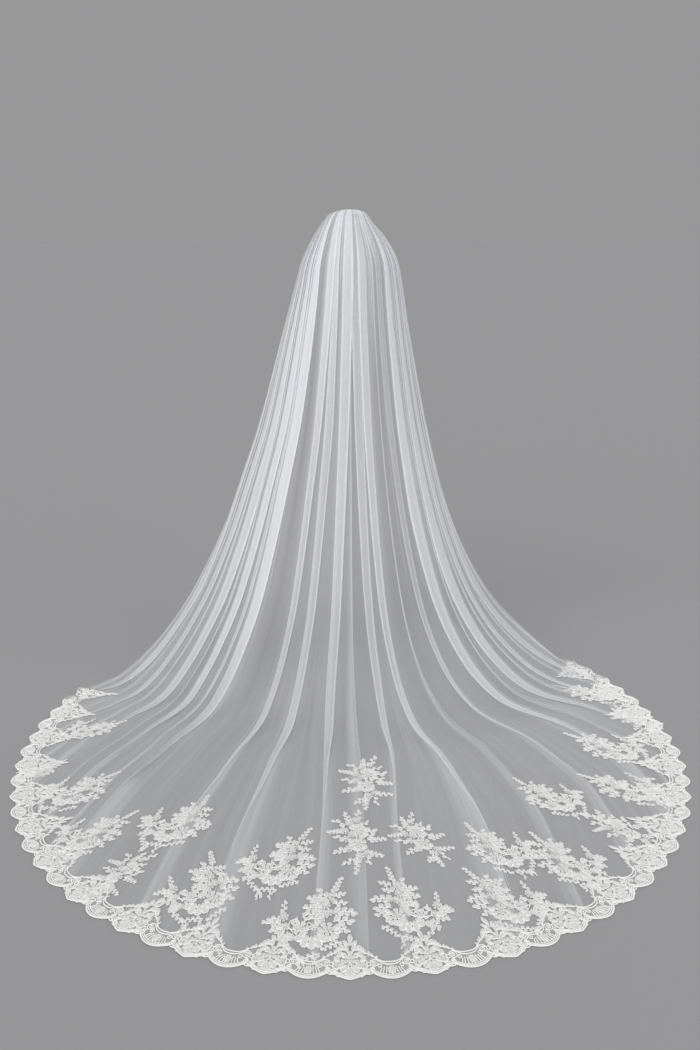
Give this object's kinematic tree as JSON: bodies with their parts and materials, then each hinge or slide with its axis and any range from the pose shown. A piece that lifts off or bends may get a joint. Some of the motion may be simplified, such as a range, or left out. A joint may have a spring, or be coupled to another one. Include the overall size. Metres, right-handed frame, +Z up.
{
  "type": "bridal veil",
  "caption": "Cathedral-length single-tier tulle bridal veil, gathered on a hair comb, with a scalloped lace border and lace sprays on its train.",
  "frame": {"origin": "middle of the hair comb, where the wearer's hair holds the veil; the floor lies 1.682 m below it", "axes": "+Z up; the wearer faces +Y and the train runs out towards -Y; +X is to the wearer's right"},
  "size_m": [2.15, 2.1683, 1.7012],
  "materials": {
    "tulle": "sheer soft white nylon tulle, even hexagonal net",
    "lace": "off-white corded and embroidered lace with small beads",
    "comb": "clear moulded plastic",
    "ribbon": "white satin ribbon"
  },
  "bodies": {
    "root": {"tulle_panel": "tulle", "lace_border": "lace", "lace_spray_01": "lace", "lace_spray_02": "lace", "lace_spray_03": "lace", "lace_spray_04": "lace", "lace_spray_05": "lace", "lace_spray_06": "lace", "lace_spray_07": "lace", "lace_spray_08": "lace", "lace_spray_09": "lace", "lace_spray_10": "lace", "lace_spray_11": "lace", "lace_spray_12": "lace", "lace_spray_13": "lace", "lace_spray_14": "lace", "lace_spray_15": "lace", "lace_spray_16": "lace", "lace_spray_17": "lace", "lace_spray_18": "lace", "lace_spray_19": "lace", "lace_spray_20": "lace", "lace_spray_21": "lace", "lace_spray_22": "lace", "hair_comb": "comb", "comb_binding": "ribbon"}
  },
  "joints": []
}
